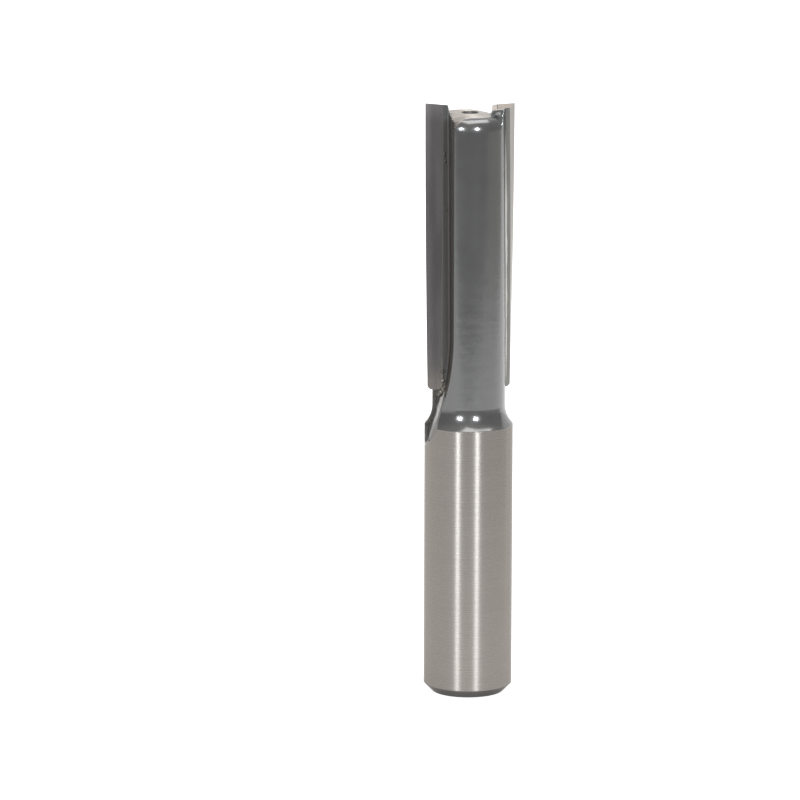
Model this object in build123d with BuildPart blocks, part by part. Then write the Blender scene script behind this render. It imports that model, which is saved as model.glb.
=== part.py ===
from build123d import *

import os
from math import acos, cos, degrees, radians, sin, sqrt, tan

# Two-flute straight router bit with brazed carbide tips, standing on the end of its shank.
# Millimetres. +Z runs up the axis to the cutting end, and the origin is the centre of the shank's
# end face. One tip lies on the +X side with its cutting face towards +Y, and the other is the same
# tip turned half a turn about the axis, so everything double is drawn on the +X side only.

# --- driving dimensions ---------------------------------------------------------------------------

# shank and the flare that leads to the core
shank_diameter = 12.7
shank_length = 39.2
shank_chamfer = 1.2
flare_length = 2.8

# core between the flutes, its neck from the flare to the foot of the tips, and its end face
core_diameter = 10.5
neck_length = 2.5
end_face_drop = 1.25
end_face_slope = 3.5
end_round_width = 1.35
end_round_height = 1.9

# carbide tips
cutting_diameter = 12.7
tip_length = 41.0
tip_width = 2.45
tip_thickness = 2.0
tip_corner_cut = 0.4
rake_lead = 0.3
shear_angle = 2.8
side_clearance = 23.0
end_clearance = 9.0
end_dish = 4.5

# silver solder round each tip, with one drop under its foot and a run of small ones up its side
braze_gap = 0.1
bead_height = 0.25
bead_radius = 0.55
bead_fall = 0.45
bead_run_count = 3
bead_run_pitch = 1.35
bead_run_offset = 0.15
bead_run_shrink = 0.8

# flutes, milled by a wheel that starts to lift at some height above the foot of the tips
flute_edge = 2.2
flute_lean = 10.0
flute_floor_radius = 0.3
runout_lift = 8.0
runout_radius = 40.0

# posts that stand behind the tips, and the gash in front of each end cutting edge
slot_width = 5.8
slot_wall_slope = 12.0
slot_foot_radius = 0.6
post_backing = 0.3
post_back_slope = 12.0
gash_distance = 1.9
gash_direction = 38.0
gash_slope = 13.0

# centre holes in both ends
centre_mouth_diameter = 2.65
centre_pilot_diameter = 1.2
centre_depth = 3.2
centre_cone_angle = 60.0

# --- what follows from them -----------------------------------------------------------------------

shank_radius = shank_diameter / 2
core_radius = core_diameter / 2
cutting_radius = cutting_diameter / 2
flare_top = shank_length + flare_length
tip_foot_z = flare_top + neck_length
overall_length = tip_foot_z + tip_length
end_face_z = overall_length - end_face_drop
round_start_radius = core_radius - end_round_width
round_start_z = end_face_z - round_start_radius * tan(radians(end_face_slope))
tip_inner_x = cutting_radius - tip_width
slot_half = slot_width / 2
runout_start = tip_foot_z + runout_lift

# The cutting face of the +X tip: local x is radial, local y runs down the tip, local z leaves the face.
rake = Plane(
    origin=(0, rake_lead, overall_length),
    x_dir=(1, 0, 0),
    z_dir=(0, cos(radians(shear_angle)), sin(radians(shear_angle))),
)

# reach of cutters past the metal that they remove, and sections that a twisted face is lofted through
clear = 3.0
loft_levels = 5


def rake_y(z):
    """Height along Y of the cutting face at level z."""
    return rake_lead + (overall_length - z) * tan(radians(shear_angle))


def edge_point(z):
    """Point of the side cutting edge at level z, on the cutting circle."""
    y = rake_y(z)
    return Vector(sqrt(cutting_radius**2 - y**2), y)


def turned_blank():
    """Shank, flare and core as they leave the lathe."""
    with BuildPart() as blank:
        with BuildSketch(Plane.XZ):
            with BuildLine():
                Polyline(
                    (0, end_face_z),
                    (0, 0),
                    (shank_radius - shank_chamfer, 0),
                    (shank_radius, shank_chamfer),
                    (shank_radius, shank_length),
                )
                TangentArc((core_radius, flare_top), (shank_radius, shank_length), tangent=(0, -1))
                Line((core_radius, flare_top), (core_radius, round_start_z - end_round_height))
                EllipticalCenterArc(
                    (round_start_radius, round_start_z - end_round_height),
                    end_round_width,
                    end_round_height,
                    start_angle=0,
                    arc_size=90,
                )
                Line((round_start_radius, round_start_z), (0, end_face_z))
            make_face()
        revolve(axis=Axis.Z)
    return blank.part


def post():
    """The steel that stands beside and behind the +X tip, above the end face of the core."""
    foot_x = slot_half - 2 * slot_foot_radius
    foot_z = round_start_z
    root_z = round_start_z - end_round_height
    top_z = overall_length + clear
    wall_lean = tan(radians(slot_wall_slope))
    back_lean = tan(radians(post_back_slope))
    back_top_y = rake_lead - tip_thickness - braze_gap - post_backing
    front_y = sqrt(round_start_radius**2 - slot_half**2)
    with BuildPart() as standing:
        # slot wall, seen from the front
        with BuildSketch(Plane.XZ):
            with BuildLine():
                Polyline(
                    (slot_half + (top_z - foot_z) * wall_lean, top_z),
                    (slot_half, foot_z),
                    (foot_x, foot_z),
                    (foot_x, root_z),
                    (core_radius + clear, root_z),
                    (core_radius + clear, top_z),
                    close=True,
                )
            make_face()
            inner_corner = vertices().sort_by_distance((slot_half, 0, foot_z))[0]
            fillet(inner_corner, slot_foot_radius)
        extrude(amount=core_radius + clear, both=True)
        # back of the post, seen from the side
        with BuildSketch(Plane.YZ):
            Polygon(
                (back_top_y + (top_z - overall_length) * back_lean, top_z),
                (back_top_y - (overall_length - root_z) * back_lean, root_z),
                (front_y, root_z),
                (front_y, top_z),
                align=None,
            )
        extrude(amount=core_radius + clear, mode=Mode.INTERSECT)
        with BuildSketch(Plane.XY.offset(root_z)):
            Circle(core_radius)
        extrude(amount=top_z - root_z, mode=Mode.INTERSECT)
    return standing.part


def plate(margin):
    """The +X tip's flat plate, thicker by the margin behind, beside and below, and overlong."""
    with BuildPart() as slab:
        with BuildSketch(rake):
            with Locations((tip_inner_x - margin, -clear)):
                Rectangle(
                    cutting_radius + clear - tip_inner_x,
                    tip_length + margin + clear,
                    align=(Align.MIN, Align.MIN),
                )
        extrude(amount=-(tip_thickness + margin))
    return slab.part


def side_relief():
    """Bar whose outer face is the relief behind the +X side cutting edge."""
    bottom = overall_length - tip_length - clear
    top = overall_length + clear
    with BuildPart() as bar:
        for i in range(loft_levels):
            z = bottom + (top - bottom) * i / (loft_levels - 1)
            edge = edge_point(z)
            outward = Vector(edge.X, edge.Y).normalized()
            tangent = Vector(outward.Y, -outward.X)
            back = tangent.rotate(Axis.Z, -side_clearance)
            with BuildSketch(Plane.XY.offset(z)):
                Polygon(
                    edge - back * clear,
                    edge + back * (tip_thickness + clear),
                    (0, edge.Y - tip_thickness - clear),
                    (0, edge.Y + clear),
                    align=None,
                )
        loft()
    return bar.part


def end_roof():
    """Metal ground off above the +X end cutting edge, with relief behind it and a slope before it."""
    reach = core_radius + clear
    start_x = cutting_radius + clear
    ridge_z = overall_length + clear * tan(radians(end_dish))
    down_the_dish = rake.x_dir * -cos(radians(end_dish)) + rake.y_dir * sin(radians(end_dish))
    with BuildPart() as roof:
        with BuildSketch(Plane.YZ.offset(start_x)):
            Polygon(
                (rake_lead, ridge_z),
                (rake_lead + reach, ridge_z - reach * tan(radians(gash_slope))),
                (rake_lead + reach, ridge_z + 2 * clear),
                (rake_lead - reach, ridge_z + 2 * clear),
                (rake_lead - reach, ridge_z - reach * tan(radians(end_clearance))),
                align=None,
            )
        extrude(amount=start_x - slot_half + slot_foot_radius, dir=down_the_dish)
    return roof.part


def end_gash():
    """Shallow slope ground across the end face in front of the +X end cutting edge."""
    outward = Vector(cos(radians(gash_direction)), sin(radians(gash_direction)))
    crease_z = end_face_z - gash_distance * tan(radians(end_face_slope))
    fall = radians(gash_slope)
    gash_plane = Plane(
        origin=outward * gash_distance + Vector(0, 0, crease_z),
        x_dir=outward * cos(fall) - Vector(0, 0, sin(fall)),
        z_dir=outward * sin(fall) + Vector(0, 0, cos(fall)),
    )
    with BuildPart() as gash:
        with BuildSketch(gash_plane):
            Rectangle(core_diameter, 2 * core_diameter, align=(Align.MIN, Align.CENTER))
        extrude(amount=core_diameter)
        with BuildSketch(Plane.XY.offset(end_face_z - core_diameter)):
            with Locations((slot_half, rake_lead)):
                Rectangle(core_diameter, core_diameter, align=(Align.MAX, Align.MIN))
        extrude(amount=2 * core_diameter, mode=Mode.INTERSECT)
    return gash.part


def flute():
    """Space that the milling wheel clears in front of the +X cutting face, with its run-out."""
    lean = tan(radians(flute_lean))
    edge_y = sqrt(core_radius**2 - flute_edge**2)
    reach = core_diameter
    rise_past_shank = shank_radius - flute_edge + clear
    runout_arc = degrees(acos(1 - rise_past_shank / runout_radius))
    with BuildPart() as space:
        with BuildSketch(Plane.XY.offset(runout_start)) as section:
            Polygon(
                (flute_edge - (reach - edge_y) * lean, reach),
                (flute_edge + (edge_y + clear) * lean, -clear),
                (2 * reach, -clear),
                (2 * reach, reach),
                align=None,
            )
        extrude(amount=overall_length + clear - runout_start)
        wheel_axis = Axis((flute_edge + runout_radius, 0, runout_start), (0, -1, 0))
        revolve(section.sketch, axis=wheel_axis, revolution_arc=runout_arc)
        with BuildSketch(rake):
            Rectangle(4 * reach, 4 * overall_length)
        extrude(amount=2 * reach, mode=Mode.INTERSECT)
        cutting_side = space.faces().sort_by(Axis.Y)[0]
        floor_corners = cutting_side.edges().sort_by(Axis.X)[:2]
        fillet(floor_corners, flute_floor_radius)
    return space.part


def centre_hole():
    """Countersunk centre hole, drilled downwards from the origin."""
    with BuildPart() as drill:
        CounterSinkHole(
            centre_pilot_diameter / 2,
            centre_mouth_diameter / 2,
            centre_depth,
            centre_cone_angle,
            mode=Mode.ADD,
        )
    return drill.part


def tip():
    """The +X carbide tip, ground on its face, its side relief and its end."""
    with BuildPart() as carbide:
        add(plate(0))
        add(side_relief(), mode=Mode.INTERSECT)
        add(end_roof(), mode=Mode.SUBTRACT)
        foot = carbide.faces().sort_by(Axis.Z)[0]
        outer_edge = foot.edges().sort_by(Axis.X)[-1]
        chamfer(outer_edge, tip_corner_cut)
    return carbide.part


def bead(x, down, base_radius):
    """Cap of a sphere that stands on the flute floor at x, that far down from the foot of the solder."""
    sphere_radius = (base_radius**2 + bead_height**2) / (2 * bead_height)
    local = Vector(x, tip_length + braze_gap + down, bead_height - sphere_radius)
    with BuildPart() as drop:
        with Locations(rake.from_local_coords(local)):
            Sphere(sphere_radius)
    return drop.part


def beads():
    """Drops of solder on the flute floor, at the foot and the inner side of the +X tip."""
    core_side_x = sqrt(core_radius**2 - rake_y(tip_foot_z) ** 2)
    with BuildPart() as caps:
        add(bead(core_side_x - bead_radius, bead_fall, bead_radius))
        for i in range(bead_run_count):
            base_radius = bead_radius * bead_run_shrink ** (i + 1)
            add(bead(tip_inner_x - bead_run_offset, -i * bead_run_pitch, base_radius))
        add(flute(), mode=Mode.INTERSECT)
    return caps.part


def braze():
    """Solder that fills the pocket round the +X tip, with its beads."""
    with BuildPart() as solder:
        add(plate(braze_gap))
        with BuildSketch(Plane.XY):
            Circle(core_radius)
        extrude(amount=overall_length + clear, mode=Mode.INTERSECT)
        add(plate(0), mode=Mode.SUBTRACT)
        add(end_roof(), mode=Mode.SUBTRACT)
        add(beads())
    return solder.part


def body():
    """The steel body: blank and posts, less the end grinding, pockets, flutes and centre holes."""
    with BuildPart() as steel:
        add(turned_blank())
        with PolarLocations(0, 2):
            add(post())
        with PolarLocations(0, 2):
            add(end_roof(), mode=Mode.SUBTRACT)
        with PolarLocations(0, 2):
            add(end_gash(), mode=Mode.SUBTRACT)
        with PolarLocations(0, 2):
            add(plate(braze_gap), mode=Mode.SUBTRACT)
        with PolarLocations(0, 2):
            add(flute(), mode=Mode.SUBTRACT)
        with Locations((0, 0, end_face_z)):
            add(centre_hole(), mode=Mode.SUBTRACT)
        with Locations(Location((0, 0, 0), (180, 0, 0))):
            add(centre_hole(), mode=Mode.SUBTRACT)
    return steel.part


os.makedirs("parts", exist_ok=True)

with BuildPart() as bit_body:
    add(body())
bit_body.part.label = "body"
export_step(bit_body.part, "parts/body.step")

for side, turn in (("right", 0), ("left", 180)):
    with BuildPart() as carbide_tip:
        add(tip(), rotation=(0, 0, turn))
    carbide_tip.part.label = f"carbide_tip_{side}"
    export_step(carbide_tip.part, f"parts/carbide_tip_{side}.step")

    with BuildPart() as tip_braze:
        add(braze(), rotation=(0, 0, turn))
    tip_braze.part.label = f"braze_{side}"
    export_step(tip_braze.part, f"parts/braze_{side}.step")
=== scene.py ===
"""Two-flute straight router bit, standing on its shank: looks, light and camera round the CAD part."""

import math

import bpy
from mathutils import Matrix, Vector


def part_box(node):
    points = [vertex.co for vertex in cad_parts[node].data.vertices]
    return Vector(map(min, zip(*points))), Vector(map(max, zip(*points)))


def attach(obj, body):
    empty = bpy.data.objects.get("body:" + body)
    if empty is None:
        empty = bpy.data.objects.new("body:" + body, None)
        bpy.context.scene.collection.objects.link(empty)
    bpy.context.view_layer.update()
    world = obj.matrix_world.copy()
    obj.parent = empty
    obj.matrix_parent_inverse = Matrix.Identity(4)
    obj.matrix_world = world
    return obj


MM = 0.001

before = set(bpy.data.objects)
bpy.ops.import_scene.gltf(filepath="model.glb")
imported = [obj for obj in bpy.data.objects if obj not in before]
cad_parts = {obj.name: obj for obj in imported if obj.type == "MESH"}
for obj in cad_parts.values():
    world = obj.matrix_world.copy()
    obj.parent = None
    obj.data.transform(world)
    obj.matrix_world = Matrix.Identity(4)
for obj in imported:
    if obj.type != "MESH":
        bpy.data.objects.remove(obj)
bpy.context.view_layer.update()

# --- the part's main levels and radii, in metres ---------------------------------------------------

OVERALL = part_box("carbide_tip_right")[1].z
SHANK_TOP = 39.2 * MM
SHANK_CHAMFER = 1.2 * MM
FLARE_TOP = 42.0 * MM
CORE_RADIUS = 5.25 * MM
END_FACE = OVERALL - 1.25 * MM
END_FLAT_RADIUS = 3.9 * MM
FLARE_RADIUS = 4.11 * MM
ROUND_HEIGHT = 1.9 * MM
ROUND_FOOT = END_FACE - 0.24 * MM - ROUND_HEIGHT
FLUTE_EDGE = 2.2 * MM
RUNOUT_END = 36.0 * MM

# the cutting face and back of each tip: how far forward of the axis plane, and how that grows downwards
RAKE_LEAD = 0.3 * MM
SHEAR_RISE = math.tan(math.radians(2.8))
TIP_THICKNESS = 2.0 * MM
TIP_FOOT = OVERALL - 41 * MM
FILLET_FOOT = TIP_FOOT + 0.3 * MM
FILLET_TOP = ROUND_FOOT - 0.2 * MM

# the bare tongue that the end grinding leaves on the round, from its start to the flute's edge
TONGUE_START = 0.5 * MM
TONGUE_END = 2.04 * MM
TONGUE_TOP = END_FACE - 0.2 * MM
TONGUE_FALL = 0.55 * MM
TONGUE_CURVE = 0.75 * MM
TONGUE_FORWARD = 2.5 * MM

# the line in each run-out that parts burnt flux, on the outside, from bare metal
BURNT_LEVEL = 43 * MM
BURNT_ACROSS = 4.2 * MM
BURNT_LEAN = 0.28

# the bright lip of the centre hole in the end face: its outer and its inner radius
CENTRE_MOUTH = 1.33 * MM
CENTRE_LIP = 1.27 * MM

# --- camera: the photograph's frame ----------------------------------------------------------------

IMAGE_SIDE = 800
SENSOR = 36 * MM
FOCAL_PIXELS = 6895
CAMERA_DISTANCE = 985 * MM
CAMERA_ELEVATION = math.radians(12.0)
CAMERA_ROLL = math.radians(0.15)
CAMERA_REACH = 20
AIM = Vector((-9.82 * MM, 0, 42.5 * MM))


# --- node helpers ----------------------------------------------------------------------------------

BEVEL_SAMPLES = 6


class Shader:
    """A material's node tree, with short calls for the nodes that this scene uses."""

    def __init__(self, name):
        self.material = bpy.data.materials.new(name)
        self.material.use_nodes = True
        self.tree = self.material.node_tree
        self.tree.nodes.clear()
        self.output = self.tree.nodes.new("ShaderNodeOutputMaterial")
        self.bsdf = self.tree.nodes.new("ShaderNodeBsdfPrincipled")
        self.link(self.bsdf.outputs["BSDF"], self.output.inputs["Surface"])
        coordinates = self.tree.nodes.new("ShaderNodeTexCoord")
        self.place = coordinates.outputs["Object"]
        split = self.tree.nodes.new("ShaderNodeSeparateXYZ")
        self.link(self.place, split.inputs[0])
        self.x, self.y, self.z = split.outputs
        geometry = self.tree.nodes.new("ShaderNodeNewGeometry")
        facing = self.tree.nodes.new("ShaderNodeSeparateXYZ")
        self.link(geometry.outputs["True Normal"], facing.inputs[0])
        _, self.ny, self.nz = facing.outputs
        self.radius = self.math("SQRT", self.add(self.mul(self.x, self.x), self.mul(self.y, self.y)))

    def link(self, source, target):
        self.tree.links.new(source, target)

    def feed(self, value, socket):
        """Puts a number, a colour or another node's output into a socket."""
        if isinstance(value, bpy.types.NodeSocket):
            self.link(value, socket)
        else:
            socket.default_value = value

    def math(self, operation, a, b=0.0):
        node = self.tree.nodes.new("ShaderNodeMath")
        node.operation = operation
        self.feed(a, node.inputs[0])
        self.feed(b, node.inputs[1])
        return node.outputs[0]

    def chain(self, operation, values):
        """One operation over two or more values, from the left."""
        result = values[0]
        for value in values[1:]:
            result = self.math(operation, result, value)
        return result

    def add(self, *terms):
        return self.chain("ADD", terms)

    def sub(self, a, b):
        return self.math("SUBTRACT", a, b)

    def mul(self, *factors):
        return self.chain("MULTIPLY", factors)

    def most(self, *values):
        return self.chain("MAXIMUM", values)

    def least(self, *values):
        return self.chain("MINIMUM", values)

    def inverse(self, mask):
        return self.sub(1.0, mask)

    def step(self, value, low, high):
        """0 below low, 1 above high, smooth between. With low above high it falls instead."""
        node = self.tree.nodes.new("ShaderNodeMapRange")
        node.interpolation_type = "SMOOTHSTEP"
        falling = low > high
        self.feed(value, node.inputs["Value"])
        self.feed(high if falling else low, node.inputs["From Min"])
        self.feed(low if falling else high, node.inputs["From Max"])
        self.feed(1.0 if falling else 0.0, node.inputs["To Min"])
        self.feed(0.0 if falling else 1.0, node.inputs["To Max"])
        return node.outputs["Result"]

    def noise(self, scale, detail=3.0, roughness=0.55):
        """Noise with that many features a metre, or that many along each axis where scale has three."""
        node = self.tree.nodes.new("ShaderNodeTexNoise")
        node.inputs["Detail"].default_value = detail
        node.inputs["Roughness"].default_value = roughness
        if isinstance(scale, tuple):
            stretch = self.tree.nodes.new("ShaderNodeMapping")
            self.link(self.place, stretch.inputs["Vector"])
            stretch.inputs["Scale"].default_value = scale
            self.link(stretch.outputs["Vector"], node.inputs["Vector"])
            node.inputs["Scale"].default_value = 1.0
        else:
            self.link(self.place, node.inputs["Vector"])
            node.inputs["Scale"].default_value = scale
        return node.outputs["Fac"]

    def mix(self, share, a, b):
        node = self.tree.nodes.new("ShaderNodeMix")
        node.data_type = "RGBA"
        self.feed(share, node.inputs["Factor"])
        self.feed(a if isinstance(a, bpy.types.NodeSocket) else (*a, 1.0), node.inputs["A"])
        self.feed(b if isinstance(b, bpy.types.NodeSocket) else (*b, 1.0), node.inputs["B"])
        return node.outputs["Result"]

    def blend(self, share, a, b):
        """Number between a and b."""
        node = self.tree.nodes.new("ShaderNodeMix")
        node.data_type = "FLOAT"
        self.feed(share, node.inputs["Factor"])
        self.feed(a, node.inputs["A"])
        self.feed(b, node.inputs["B"])
        return node.outputs["Result"]

    def shade(self, colour, factor):
        """Colour made darker or lighter by a number that varies round 1."""
        node = self.tree.nodes.new("ShaderNodeVectorMath")
        node.operation = "SCALE"
        self.feed(colour, node.inputs[0])
        self.feed(factor, node.inputs["Scale"])
        return node.outputs["Vector"]

    def bump(self, height, distance, strength=1.0, normal=None):
        node = self.tree.nodes.new("ShaderNodeBump")
        self.feed(height, node.inputs["Height"])
        node.inputs["Distance"].default_value = distance
        node.inputs["Strength"].default_value = strength
        if normal is not None:
            self.link(normal, node.inputs["Normal"])
        return node.outputs["Normal"]

    def soft_edges(self, radius):
        node = self.tree.nodes.new("ShaderNodeBevel")
        node.samples = BEVEL_SAMPLES
        node.inputs["Radius"].default_value = radius
        return node.outputs["Normal"]

    def finish(self, colour, roughness, metallic, normal=None, **uniform):
        self.feed(colour, self.bsdf.inputs["Base Color"])
        self.feed(roughness, self.bsdf.inputs["Roughness"])
        self.feed(metallic, self.bsdf.inputs["Metallic"])
        if normal is not None:
            self.link(normal, self.bsdf.inputs["Normal"])
        for socket, value in uniform.items():
            self.bsdf.inputs[socket.replace("_", " ")].default_value = value
        return self.material


# --- materials -------------------------------------------------------------------------------------

WHITE = (1.0, 1.0, 1.0)
STEEL = (0.201, 0.184, 0.171)
STEEL_EDGE = (0.62, 0.61, 0.60)
END_STEEL = (0.60, 0.555, 0.515)
DARK_STEEL = (0.06, 0.06, 0.06)
PAINT = (0.05, 0.05, 0.0505)
# the flutes' colour: brown flux stain, darkened further as painted shade in the recess
FLUTE_STAIN_AND_SHADE = (0.026, 0.023, 0.02)
STAIN_SPECKS = (0.16, 0.145, 0.125)
BURNT_FLUX = (0.022, 0.02, 0.016)
FLUX_SPECKS = (0.24, 0.22, 0.18)
# run-out rim: bare steel left by the milling cutter, made lighter as a painted reflection, less so low down
MILLED_RIM_AND_REFLECTION = (0.29, 0.28, 0.268)
MILLED_LOW_AND_REFLECTION = (0.17, 0.162, 0.156)
CARBIDE = (0.335, 0.322, 0.32)
CARBIDE_FOOT = (0.365, 0.335, 0.31)
CARBIDE_EDGE = (0.57, 0.56, 0.53)
DARK_BACK_CARBIDE = (0.165, 0.162, 0.151)
END_CARBIDE = (0.52, 0.47, 0.43)
SOLDER = (0.11, 0.098, 0.082)
DARK_SOLDER = (0.045, 0.04, 0.033)
# painted glints on the solder beads
SOLDER_GLINT = (0.34, 0.33, 0.305)
# solder fillet colour, made brighter as a painted highlight
FILLET_SOLDER_AND_HIGHLIGHT = (0.42, 0.415, 0.39)
STAINED_SOLDER = (0.05, 0.045, 0.04)

# features a metre: of plain noise, and along x, y and z where a tool drew them out
EDGE_WOBBLE = 900
PAINT_MOTTLE = 260
PAINT_GRAIN = 2500
PAINT_WAVES = 700
PAINT_RIPPLES = (150, 150, 1000)
FLUX_GRAINS = 3200
GRINDING_RINGS = (40, 40, 7000)
BROAD_RINGS = (30, 30, 500)
END_MOTTLE = 450
FACE_LINES = (1800, 1800, 50)
FACE_CLOUDS = (500, 500, 70)
SOLDER_LUMPS = 2200
SOLDER_STAIN = 800
# noise for the solder's painted glints
SOLDER_GLINT_SPOTS = 3600
FILLET_LUMPS = (1500, 1500, 500)

# how far the edges between finishes wander, and how soft they are
WANDER = 0.25 * MM
SHARP = 0.03 * MM
CRISP = 0.05 * MM
SOFT = 0.1 * MM
BLURRED = 0.3 * MM

# where the paint's and the tips' tints change, where the run-out rims' painted reflection lies, and where
# the painted highlights and painted shade on the tips' faces lie
SPECKS_END = FLARE_TOP + 6 * MM
SPECKS_FULL = FLARE_TOP + 1 * MM
BRIGHT_RIM_START = RUNOUT_END + 2.5 * MM
BRIGHT_RIM_FULL = RUNOUT_END + 5 * MM
LOW_RIM_HEIGHT = 1.2 * MM
WALL_RIM_WIDTH = 0.32 * MM
# the band by the cutting edge where the carbide face gets a painted highlight, then the levels where
# painted shade comes on above
EDGE_HIGHLIGHT_INNER = 5.2 * MM
EDGE_HIGHLIGHT_OUTER = 6.2 * MM
FACE_SHADE_FROM = 55 * MM
FACE_SHADE_FULL = 68 * MM
FILM_RADIUS = 3.8 * MM

PAINT_IOR = 1.75
ROUNDED_EDGES = 0.12 * MM


def turned_radius(s):
    """The radius that the lathe left at each level: shank, flare, core and the round at the end."""
    down = s.least(s.most(s.sub(FLARE_TOP, s.z), 0.0), FLARE_TOP - SHANK_TOP)
    flare = s.sub(CORE_RADIUS + FLARE_RADIUS, s.math("SQRT", s.sub(FLARE_RADIUS**2, s.mul(down, down))))
    up = s.mul(s.sub(s.z, ROUND_FOOT), 1 / ROUND_HEIGHT)
    up = s.least(s.most(up, 0.0), 1.0)
    drawn_in = s.mul(CORE_RADIUS - END_FLAT_RADIUS, s.inverse(s.math("SQRT", s.inverse(s.mul(up, up)))))
    return s.sub(flare, drawn_in)


def own_side(s):
    """How far across and forward of the axis a point is, as its own side's flute and tip see it.

    The bit repeats after half a turn, so one side's coordinates are turned onto the other's.
    """
    side = s.math("SIGN", s.y)
    return s.mul(side, s.x), s.mul(side, s.y)


def on_tongue(s, across, forward, wobble):
    """Mask of the bare tongue that the end grinding leaves beside each flute, down over the round."""
    along = s.most(s.mul(s.sub(across, TONGUE_START), 1 / (TONGUE_END - TONGUE_START)), 0.0)
    fall = s.mul(along, s.add(TONGUE_FALL, s.mul(along, TONGUE_CURVE)))
    above = s.add(s.sub(s.z, s.sub(TONGUE_TOP, fall)), s.mul(wobble, 0.5))
    past_axis = s.step(across, 0.0, BLURRED)
    beside_flute = s.step(across, FLUTE_EDGE + 0.5 * MM, FLUTE_EDGE + 0.4 * MM)
    in_front = s.step(forward, TONGUE_FORWARD, TONGUE_FORWARD + 0.2 * MM)
    return s.mul(s.step(above, -SHARP, SHARP), past_axis, beside_flute, in_front)


def bare_shank(s, sunk, wobble):
    """Mask of the ground shank. Above the foot of the run-outs it leaves out what is milled away."""
    below_flare = s.step(s.add(s.z, wobble), SHANK_TOP + CRISP, SHANK_TOP - SOFT)
    below_runout = s.step(s.z, RUNOUT_END + SOFT, RUNOUT_END - SOFT)
    return s.mul(below_flare, s.most(s.inverse(sunk), below_runout))


def bare_end(s, tongue, wobble):
    """Mask of the ground end: its flat, the tops of the posts, the tongues and the centre hole's lip."""
    upward = s.step(s.nz, 0.90, 0.95)
    near_end = s.step(s.z, END_FACE - 1.0 * MM, END_FACE - 0.9 * MM)
    in_flat = s.step(s.add(s.radius, wobble), END_FLAT_RADIUS + 0.15 * MM, END_FLAT_RADIUS + CRISP)
    on_post = s.step(s.z, END_FACE + 0.25 * MM, END_FACE + 0.35 * MM)
    on_flat = s.mul(upward, near_end, s.most(in_flat, on_post))
    lip = s.mul(
        s.step(s.radius, CENTRE_MOUTH + 0.2 * MM, CENTRE_MOUTH),
        s.step(s.radius, CENTRE_LIP, CENTRE_LIP + CRISP),
    )
    return s.most(on_flat, tongue, s.mul(lip, near_end))


def run_out(s, sunk, across, forward, wobble):
    """Masks of burnt flux on a run-out's outside, its bright rim that the milling cutter left bare, painted
    lighter as a painted reflection, and its floor but for the rim.
    """
    above_end = s.step(s.z, RUNOUT_END, RUNOUT_END + 1 * MM)
    inside = s.mul(s.step(s.z, TIP_FOOT + BLURRED, TIP_FOOT - BLURRED), above_end)
    burnt_edge = s.add(BURNT_ACROSS, s.mul(s.sub(BURNT_LEVEL, s.z), BURNT_LEAN))
    past_edge = s.step(s.add(s.sub(across, burnt_edge), wobble), -SOFT, SOFT)
    burnt = s.mul(past_edge, inside, s.step(forward, 0.2 * MM, 1.0 * MM))
    rake_forward = s.add(RAKE_LEAD, s.mul(s.sub(OVERALL, s.z), SHEAR_RISE))
    by_wall = s.step(s.sub(forward, rake_forward), WALL_RIM_WIDTH, WALL_RIM_WIDTH - 0.2 * MM)
    low = s.step(s.z, SHANK_TOP + LOW_RIM_HEIGHT, SHANK_TOP)
    # mask of the rim that carries the painted reflection
    rim = s.mul(s.most(by_wall, low), sunk, inside, s.inverse(past_edge))
    return burnt, rim, s.mul(inside, s.inverse(by_wall))


def steel_colour(s, rings, end, tongue):
    """Ground steel: ringed on the shank, mottled on the end with painted light making it lighter towards
    +x, darker on the tongues, dark on the chamfer that it stands on.
    """
    broad = s.noise(BROAD_RINGS, detail=2)
    steel_shade = s.add(1.0, s.mul(s.sub(rings, 0.5), 0.12), s.mul(s.sub(broad, 0.5), 0.1))
    # painted light: the end is made lighter towards +x, standing in for the light that falls more on that
    # side; the tongues are made darker
    end_tone_and_painted_light = s.add(0.85, s.mul(s.noise(END_MOTTLE, detail=4), 0.2), s.mul(s.x, 24.0))
    end_tone_and_painted_light = s.sub(end_tone_and_painted_light, s.mul(tongue, 0.22))
    steel = s.mix(end, s.shade(STEEL, steel_shade), s.shade(END_STEEL, end_tone_and_painted_light))
    chamfer = s.step(s.z, SHANK_CHAMFER + CRISP, SHANK_CHAMFER - CRISP)
    return s.mix(s.mul(chamfer, s.step(s.z, 0.0, CRISP), 0.75), steel, DARK_STEEL)


def paint_colour(s, mottle, stain_and_shade, burnt, rim):
    """Grey paint, with brown flux stain and painted shade in the flutes, and in the run-outs burnt flux and
    a rim bared by milling, made lighter as a painted reflection.
    """
    specks = s.step(s.noise(FLUX_GRAINS, detail=2), 0.62, 0.72)
    paint = s.shade(PAINT, s.add(0.9, s.mul(mottle, 0.2)))
    low = s.step(s.z, SPECKS_END, SPECKS_FULL)
    # flute colour: brown flux stain darkened as painted shade, with specks low down
    stain = s.mix(s.mul(low, specks), FLUTE_STAIN_AND_SHADE, STAIN_SPECKS)
    paint = s.mix(s.mul(stain_and_shade, s.add(0.75, s.mul(mottle, 0.5))), paint, stain)
    paint = s.mix(burnt, paint, s.mix(specks, BURNT_FLUX, FLUX_SPECKS))
    # painted reflection: the rim's colour is made lighter, more so higher up, standing in for the light it
    # reflects
    rim_tone_and_reflection = s.mix(s.step(s.z, BRIGHT_RIM_START, BRIGHT_RIM_FULL), MILLED_LOW_AND_REFLECTION, MILLED_RIM_AND_REFLECTION)
    return s.mix(rim, paint, s.shade(rim_tone_and_reflection, s.add(0.75, s.mul(mottle, 0.5))))


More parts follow.
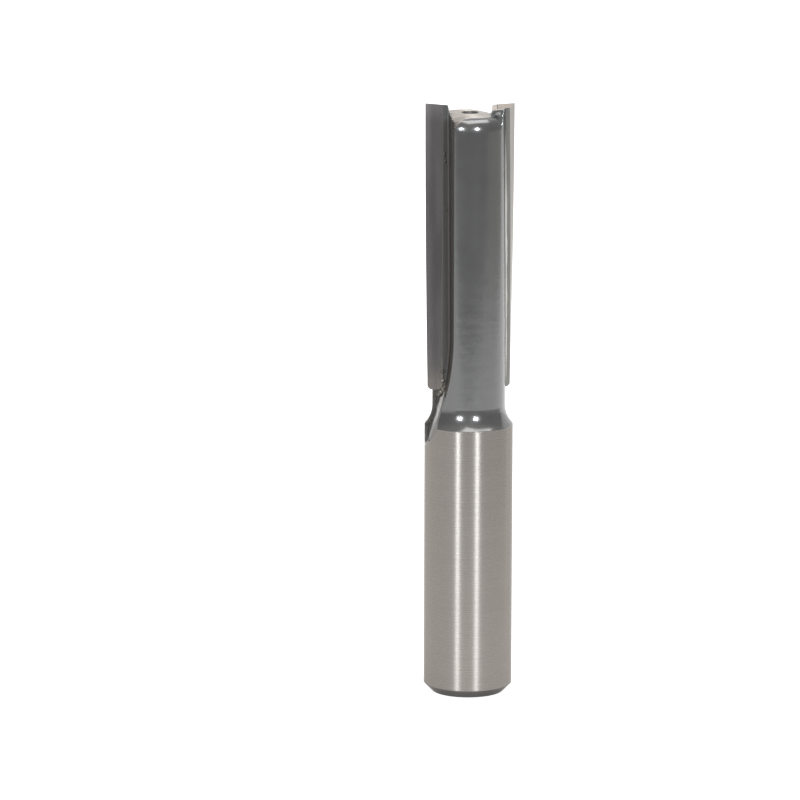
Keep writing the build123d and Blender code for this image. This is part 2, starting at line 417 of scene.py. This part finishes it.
def body_normal(s, rings, bare, stain_and_shade):
    """Rounded edges, with waves, ripples and grain in the paint and grinding rings in the bare steel."""
    painted = s.inverse(bare)
    waves = s.mul(s.noise(PAINT_WAVES, detail=3), painted)
    ripples = s.mul(s.noise(PAINT_RIPPLES, detail=2), painted)
    grain = s.mul(s.noise(PAINT_GRAIN, detail=2), s.add(0.3, stain_and_shade))
    normal = s.bump(waves, 0.014 * MM, 1.0, s.soft_edges(ROUNDED_EDGES))
    normal = s.bump(ripples, 0.008 * MM, 1.0, normal)
    normal = s.bump(grain, 0.02 * MM, 0.35, normal)
    return s.bump(s.mul(rings, bare), 0.003 * MM, 0.5, normal)


def body_material():
    """Steel body: ground shank and end, satin grey paint between, brownish stain and painted shade in the
    flutes.
    """
    s = Shader("body_steel_and_paint")
    wobble = s.mul(s.sub(s.noise(EDGE_WOBBLE), 0.5), WANDER)
    sunk = s.step(s.sub(turned_radius(s), s.radius), CRISP, 0.12 * MM)
    across, forward = own_side(s)
    tongue = on_tongue(s, across, forward, wobble)
    end = bare_end(s, tongue, wobble)
    burnt, rim, open_floor = run_out(s, sunk, across, forward, wobble)
    bare = s.mul(s.most(bare_shank(s, sunk, wobble), end), s.inverse(burnt))
    below_end = s.step(s.z, END_FACE + 0.5 * MM, END_FACE - 1.5 * MM)
    # the sunk flute surfaces: stained by flux and darkened as painted shade
    stain_and_shade = s.mul(sunk, below_end, s.inverse(open_floor))

    rings = s.noise(GRINDING_RINGS, detail=4, roughness=0.7)
    mottle = s.noise(PAINT_MOTTLE, detail=4)
    paint = paint_colour(s, mottle, stain_and_shade, burnt, rim)
    colour = s.mix(bare, paint, steel_colour(s, rings, end, tongue))
    paint_roughness = s.add(0.13, s.mul(mottle, 0.08), s.mul(stain_and_shade, 0.22), s.mul(burnt, 0.4))
    roughness = s.blend(bare, paint_roughness, s.add(0.24, s.mul(rings, 0.06)))
    s.link(s.blend(stain_and_shade, s.blend(burnt, 0.5, 0.05), 0.2), s.bsdf.inputs["Specular IOR Level"])
    s.link(s.mix(bare, WHITE, STEEL_EDGE), s.bsdf.inputs["Specular Tint"])
    s.link(s.mul(bare, 0.9), s.bsdf.inputs["Anisotropic"])
    tangent = s.tree.nodes.new("ShaderNodeTangent")
    tangent.direction_type = "RADIAL"
    tangent.axis = "Z"
    s.link(tangent.outputs[0], s.bsdf.inputs["Tangent"])
    normal = body_normal(s, rings, bare, stain_and_shade)
    return s.finish(colour, roughness, bare, normal, IOR=PAINT_IOR, Anisotropic_Rotation=0.25)


def carbide_material():
    """Ground tungsten carbide: painted highlights by its cutting edge and near the top and foot of its
    face, painted shade on the face's upper part, darker on its back.
    """
    s = Shader("ground_carbide")
    lines = s.noise(FACE_LINES, detail=3, roughness=0.6)
    cloud = s.noise(FACE_CLOUDS, detail=3)
    facing = s.mul(s.math("SIGN", s.x), s.ny)
    face = s.step(facing, 0.8, 0.9)
    back = s.step(facing, -0.8, -0.9)
    top = s.step(s.nz, 0.7, 0.8)
    edge_highlight = s.step(s.radius, EDGE_HIGHLIGHT_INNER, EDGE_HIGHLIGHT_OUTER)
    end_highlight = s.most(s.step(s.z, OVERALL - 3 * MM, OVERALL), s.step(s.z, TIP_FOOT + 4 * MM, TIP_FOOT))
    by_foot = s.step(s.z, TIP_FOOT + 5 * MM, TIP_FOOT)
    upper = s.step(s.z, FACE_SHADE_FROM, FACE_SHADE_FULL)
    ground = s.add(0.75, s.mul(lines, 0.14), s.mul(cloud, 0.2))
    # lit adds painted highlights by the cutting edge and near the face's top and foot, and takes light off
    # as painted shade on its upper part
    lit = s.sub(s.add(s.mul(edge_highlight, 0.25), s.mul(end_highlight, 0.32)), s.mul(upper, 0.17))
    colour = s.shade(s.mix(s.mul(face, by_foot), CARBIDE, CARBIDE_FOOT), s.add(ground, s.mul(face, lit)))
    # the tip's back is darker
    colour = s.mix(back, colour, s.shade(DARK_BACK_CARBIDE, s.add(0.7, s.mul(cloud, 0.6))))
    colour = s.mix(top, colour, s.shade(END_CARBIDE, s.add(0.85, s.mul(lines, 0.3))))
    roughness = s.add(0.13, s.mul(cloud, 0.08), s.mul(back, 0.15))
    return s.finish(colour, roughness, 1.0, Specular_Tint=(*CARBIDE_EDGE, 1.0))


def solder_material():
    """Silver solder: lumpy beads with painted glints, and a film round the tip with a dark flux stain."""
    s = Shader("silver_solder")
    lumps = s.noise(SOLDER_LUMPS, detail=3)
    stain = s.noise(SOLDER_STAIN, detail=4)
    # painted highlight: small bright spots in the colour stand in for glints on the beads
    bright = s.step(s.noise(SOLDER_GLINT_SPOTS, detail=2), 0.64, 0.7)
    film = s.mul(
        s.step(s.z, TIP_FOOT + 2 * MM, TIP_FOOT + 6 * MM),
        s.step(s.radius, FILM_RADIUS - CRISP, FILM_RADIUS + CRISP),
    )
    colour = s.mix(s.step(stain, 0.45, 0.6), SOLDER, DARK_SOLDER)
    colour = s.mix(film, s.mix(bright, colour, SOLDER_GLINT), STAINED_SOLDER)
    roughness = s.add(0.42, s.mul(stain, 0.25), s.mul(film, 0.2))
    return s.finish(colour, roughness, s.sub(0.8, s.mul(film, 0.6)), s.bump(lumps, 0.04 * MM, 0.7))


def fillet_material():
    """Silver solder drawn out into a smooth fillet, lighter towards the tip's foot as a painted highlight.
    """
    s = Shader("solder_fillet")
    lumps = s.noise(FILLET_LUMPS, detail=3)
    # painted highlight: the fillet's colour grows lighter from the top down to the tip's foot
    low = s.step(s.z, OVERALL - 4 * MM, OVERALL - 20 * MM)
    colour = s.shade(FILLET_SOLDER_AND_HIGHLIGHT, s.add(0.5, s.mul(low, s.add(0.45, s.mul(lumps, 0.4)))))
    return s.finish(colour, s.add(0.38, s.mul(lumps, 0.15)), 0.2, s.bump(lumps, 0.01 * MM, 0.5))


def dress(node, material):
    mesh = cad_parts[node].data
    mesh.materials.clear()
    mesh.materials.append(material)


def add_mesh(name, points, faces, material):
    mesh = bpy.data.meshes.new(name)
    mesh.from_pydata(points, [], faces)
    mesh.materials.append(material)
    piece = bpy.data.objects.new(name, mesh)
    bpy.context.scene.collection.objects.link(piece)
    return piece


# --- solder fillets --------------------------------------------------------------------------------

FILLET_ON_CORE = 1.5 * MM
FILLET_ON_TIP = 0.15 * MM
FILLET_SINK = 0.03 * MM
FILLET_HOLLOW = 0.15
FILLET_LEVELS = 80
FILLET_STEPS = 5


def fillet_ring(z, half_turn):
    """Section of the solder in the corner where the core meets the back of a tip, at one level.

    Points run from the core's surface over a hollow curve to the tip's back, then into the corner.
    """
    back_y = RAKE_LEAD + (OVERALL - z) * SHEAR_RISE - TIP_THICKNESS
    corner = Vector((math.sqrt(CORE_RADIUS**2 - back_y**2), back_y, z))
    into_core = Vector((-corner.x, -corner.y, 0)).normalized()
    taper = min(1.0, (z - FILLET_FOOT) / (2 * MM), (FILLET_TOP - z) / (6 * MM))
    swell = 1 + 0.18 * math.sin(900 * z) + 0.1 * math.sin(2300 * z + 1)
    share = max(0.05, taper) * swell
    turn = FILLET_ON_CORE * share / CORE_RADIUS
    on_core = Matrix.Rotation(-turn, 3, "Z") @ Vector((corner.x, corner.y, 0)) + Vector((0, 0, z))
    on_tip = corner + Vector((FILLET_ON_TIP * share, 0, 0))
    pull = corner + FILLET_HOLLOW * (on_core + on_tip - 2 * corner)
    ring = []
    for i in range(FILLET_STEPS + 1):
        t = i / FILLET_STEPS
        ring.append((1 - t) ** 2 * on_core + 2 * t * (1 - t) * pull + t**2 * on_tip)
    ring.append(on_tip + Vector((0, FILLET_SINK, 0)))
    ring.append(corner + into_core * FILLET_SINK + Vector((0, FILLET_SINK, 0)))
    ring.append(on_core + into_core * FILLET_SINK)
    sign = -1 if half_turn else 1
    return [(sign * p.x, sign * p.y, p.z) for p in ring]


def solder_fillet(name, half_turn, material):
    points = []
    for i in range(FILLET_LEVELS + 1):
        points += fillet_ring(FILLET_FOOT + (FILLET_TOP - FILLET_FOOT) * i / FILLET_LEVELS, half_turn)
    n = len(points) // (FILLET_LEVELS + 1)
    faces = [
        (row * n + i, row * n + (i + 1) % n, (row + 1) * n + (i + 1) % n, (row + 1) * n + i)
        for row in range(FILLET_LEVELS)
        for i in range(n)
    ]
    faces += [tuple(reversed(range(n))), tuple(range(FILLET_LEVELS * n, (FILLET_LEVELS + 1) * n))]
    strip = add_mesh(name, points, faces, material)
    for polygon in strip.data.polygons:
        polygon.use_smooth = polygon.index % n < FILLET_STEPS
    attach(strip, "root")


# --- drops: pooled paint at each post's foot, solder spatter in the flutes --------------------------

# in millimetres: centre on the camera side's surface, then half width, half height and stand-off
PAINT_DROPS = [
    ((3.95, -2.38, 84.25), (0.62, 0.36, 0.3)),
    ((-3.62, -0.68, 78.2), (0.22, 0.4, 0.12)),
    ((-3.5, -0.75, 77.2), (0.2, 0.3, 0.1)),
]
SPATTER = [
    ((-3.29, -1.04, 70.3), (0.2, 0.22, 0.14)),
    ((-3.75, -2.22, 46.6), (0.14, 0.3, 0.1)),
    ((-3.45, -2.3, 44.9), (0.25, 0.2, 0.12)),
]
DROP_RINGS = 10
DROP_SIDES = 20


def drop(name, centre, size, half_turn, material):
    """Ellipsoid that sits half sunk in the surface at its centre."""
    sign = -1 if half_turn else 1
    half_width, half_height, stand_off = size
    points = [(0, 0, half_height)]
    for i in range(1, DROP_RINGS):
        lean = math.pi * i / DROP_RINGS
        for j in range(DROP_SIDES):
            turn = 2 * math.pi * j / DROP_SIDES
            x = half_width * math.sin(lean) * math.cos(turn)
            y = stand_off * math.sin(lean) * math.sin(turn)
            points.append((x, y, half_height * math.cos(lean)))
    points.append((0, 0, -half_height))
    points = [
        (sign * (centre[0] + x) * MM, sign * (centre[1] + y) * MM, (centre[2] + z) * MM)
        for x, y, z in points
    ]
    n, last = DROP_SIDES, len(points) - 1
    faces = [(0, 1 + j, 1 + (j + 1) % n) for j in range(n)]
    for i in range(DROP_RINGS - 2):
        a, b = 1 + i * n, 1 + (i + 1) * n
        faces += [(a + j, b + j, b + (j + 1) % n, a + (j + 1) % n) for j in range(n)]
    faces += [(last, last - n + (j + 1) % n, last - n + j) for j in range(n)]
    bead = add_mesh(name, points, faces, material)
    bead.data.shade_smooth()
    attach(bead, "root")


def drops(half_turn, paint, solder):
    side = "back" if half_turn else "front"
    for i, (centre, size) in enumerate(PAINT_DROPS):
        drop(f"paint_drop_{side}_{i + 1}", centre, size, half_turn, paint)
    for i, (centre, size) in enumerate(SPATTER):
        drop(f"solder_spatter_{side}_{i + 1}", centre, size, half_turn, solder)


# --- floor and the unlit side of the studio, in metres ---------------------------------------------

# front edge of the floor from left to right, cut back before the bit
FLOOR_FRONT = [(-1.6, -0.9), (-0.42, -0.5), (-0.27, -0.27), (-0.13, -0.23), (0.0, -0.24)]
FLOOR_FRONT += [(0.124, -0.224), (0.223, -0.194), (0.27, -0.1), (0.3, 0.15), (1.6, 0.4)]
FLOOR_BACK = [(1.6, 2.6), (-1.6, 2.6)]
FLOOR_COLOUR = (0.5, 0.5, 0.5, 1.0)
FLOOR_ROUGHNESS = 0.8
FLOOR_GLOW = 0.85

# the shell's reach in degrees, azimuth 0 being the camera's side
ROOM_RADIUS = 0.9
ROOM_AZIMUTH = 115
ROOM_LOWEST = -40
ROOM_HIGHEST = 70
ROOM_STEP = 5

# how bright the shell is all over, then what each part of it adds
ROOM_DIM = 0.16
ROOM_BETWEEN_LIGHTS = 0.28
ROOM_LOW_RIGHT = 0.38
ROOM_CEILING = 0.45
ROOM_MIDDLE_TINT = (1.0, 0.98, 0.985)
ROOM_SIDE_TINT = (1.0, 0.96, 0.88)


def floor_material():
    s = Shader("pale_floor")
    glow = {"Emission_Color": (*WHITE, 1.0), "Emission_Strength": FLOOR_GLOW}
    return s.finish(FLOOR_COLOUR, FLOOR_ROUGHNESS, 0.0, **glow)


def floor():
    """Pale sheet. Its front edge is cut back, so that the upper core mirrors the dark room below it."""
    corners = [(x, y, 0) for x, y in FLOOR_FRONT + FLOOR_BACK]
    sheet = add_mesh("floor", corners, [tuple(range(len(corners)))], floor_material())


def room_glow():
    """Dim emission: brighter overhead and between the softboxes, and below the horizon at the right."""
    s = Shader("dark_room")
    glow = s.tree.nodes.new("ShaderNodeEmission")
    azimuth = s.math("ARCTAN2", s.x, s.mul(s.y, -1.0))
    rise = s.mul(s.z, 1 / ROOM_RADIUS)
    above = s.step(rise, -0.05, 0.05)
    between = s.mul(
        s.step(azimuth, math.radians(-48), math.radians(-12)),
        s.step(azimuth, math.radians(44), math.radians(10)),
    )
    right = s.step(azimuth, math.radians(45), math.radians(68))
    ceiling = s.step(rise, math.sin(math.radians(32)), math.sin(math.radians(55)))
    part = s.blend(above, s.mul(right, ROOM_LOW_RIGHT), s.mul(between, ROOM_BETWEEN_LIGHTS))
    to_side = s.step(s.math("ABSOLUTE", azimuth), 0.5, 1.2)
    s.feed(s.mix(s.most(ceiling, to_side), ROOM_MIDDLE_TINT, ROOM_SIDE_TINT), glow.inputs["Color"])
    s.feed(s.add(ROOM_DIM, part, s.mul(ceiling, ROOM_CEILING)), glow.inputs["Strength"])
    s.link(glow.outputs[0], s.output.inputs["Surface"])
    return s.material


def toward(azimuth, elevation):
    """Unit vector from the bit. Azimuth 0 is the camera's side, and both angles are in degrees."""
    a, e = math.radians(azimuth), math.radians(elevation)
    return Vector((math.sin(a) * math.cos(e), -math.cos(a) * math.cos(e), math.sin(e)))


def dark_room():
    """Dim shell on the camera's side, seen only in reflections, as the unlit half of a studio is."""
    azimuths = range(-ROOM_AZIMUTH, ROOM_AZIMUTH + 1, ROOM_STEP)
    elevations = range(ROOM_LOWEST, ROOM_HIGHEST + 1, ROOM_STEP)
    points = [ROOM_RADIUS * toward(a, e) for e in elevations for a in azimuths]
    n = len(azimuths)
    faces = [
        (row * n + i, row * n + i + 1, (row + 1) * n + i + 1, (row + 1) * n + i)
        for row in range(len(elevations) - 1)
        for i in range(n - 1)
    ]
    shell = add_mesh("dark_room", points, faces, room_glow())
    shell.visible_camera = False
    shell.visible_shadow = False
    shell.visible_diffuse = False


# --- light and camera ------------------------------------------------------------------------------

SOFTBOX_AZIMUTHS = {"left": -28, "right": 22.5}
SOFTBOX_ELEVATION = 17
SOFTBOX_DISTANCE = 0.6
SOFTBOX_SIZE = (0.062, 0.075)
SOFTBOX_POWER = 3.8
SOFTBOX_TINT = (0.9, 0.96, 1.0)

# ends of the overhead strip, from the middle of the bit's end
STRIP_START = Vector((-0.16, -0.30, 0.62))
STRIP_END = Vector((0.44, 0.06, 0.60))
STRIP_WIDTH = 0.4
STRIP_POWER = 4.9

SKY_STRENGTH = 1.25


def area_light(name, width, height, power):
    light = bpy.data.lights.new(name, "AREA")
    light.shape = "RECTANGLE"
    light.size = width
    light.size_y = height
    light.energy = power
    lamp = bpy.data.objects.new(name, light)
    bpy.context.scene.collection.objects.link(lamp)
    return lamp


def softbox(name, azimuth):
    """Small light that looks at the middle of the bit and gives highlights only."""
    lamp = area_light(name, *SOFTBOX_SIZE, SOFTBOX_POWER)
    lamp.data.color = SOFTBOX_TINT
    lamp.visible_diffuse = False
    target = Vector((0, 0, OVERALL / 2))
    lamp.location = target + SOFTBOX_DISTANCE * toward(azimuth, SOFTBOX_ELEVATION)
    lamp.rotation_euler = (target - lamp.location).to_track_quat("-Z", "Y").to_euler()


def overhead_strip():
    """Long light above the bit, turned so that its flat side faces the middle of the bit's end."""
    lamp = area_light("overhead", (STRIP_END - STRIP_START).length, STRIP_WIDTH, STRIP_POWER)
    middle = (STRIP_START + STRIP_END) / 2
    along = (STRIP_END - STRIP_START).normalized()
    away = (middle - along * middle.dot(along)).normalized()
    axes = Matrix((along, away.cross(along), away)).transposed()
    lamp.location = middle + Vector((0, 0, END_FACE))
    lamp.rotation_euler = axes.to_euler()


def surroundings():
    """White sky. It is one solid colour, so leaving it out of the sampling saves time and adds no noise."""
    world = bpy.data.worlds.new("studio")
    bpy.context.scene.world = world
    world.use_nodes = True
    background = world.node_tree.nodes["Background"]
    background.inputs["Color"].default_value = (*WHITE, 1.0)
    background.inputs["Strength"].default_value = SKY_STRENGTH
    world.cycles.sampling_method = "NONE"


def camera():
    data = bpy.data.cameras.new("camera")
    data.sensor_width = SENSOR / MM
    data.lens = FOCAL_PIXELS / IMAGE_SIDE * SENSOR / MM
    data.clip_end = CAMERA_REACH
    eye = bpy.data.objects.new("camera", data)
    bpy.context.scene.collection.objects.link(eye)
    back = Vector((0, -math.cos(CAMERA_ELEVATION), math.sin(CAMERA_ELEVATION)))
    eye.location = AIM + back * CAMERA_DISTANCE
    level = (-back).to_track_quat("-Z", "Y").to_matrix()
    eye.rotation_euler = (level @ Matrix.Rotation(CAMERA_ROLL, 3, "Z")).to_euler()
    bpy.context.scene.camera = eye


# --- the scene -------------------------------------------------------------------------------------

body = body_material()
carbide = carbide_material()
solder = solder_material()
fillet = fillet_material()
dress("body", body)
for side in ("left", "right"):
    dress(f"carbide_tip_{side}", carbide)
    dress(f"braze_{side}", solder)
    solder_fillet(f"solder_fillet_{side}", side == "left", fillet)

for half_turn in (False, True):
    drops(half_turn, body, solder)

floor()
surroundings()
dark_room()
for side, azimuth in SOFTBOX_AZIMUTHS.items():
    softbox(f"softbox_{side}", azimuth)
overhead_strip()
camera()
bpy.context.scene.view_settings.view_transform = "Standard"
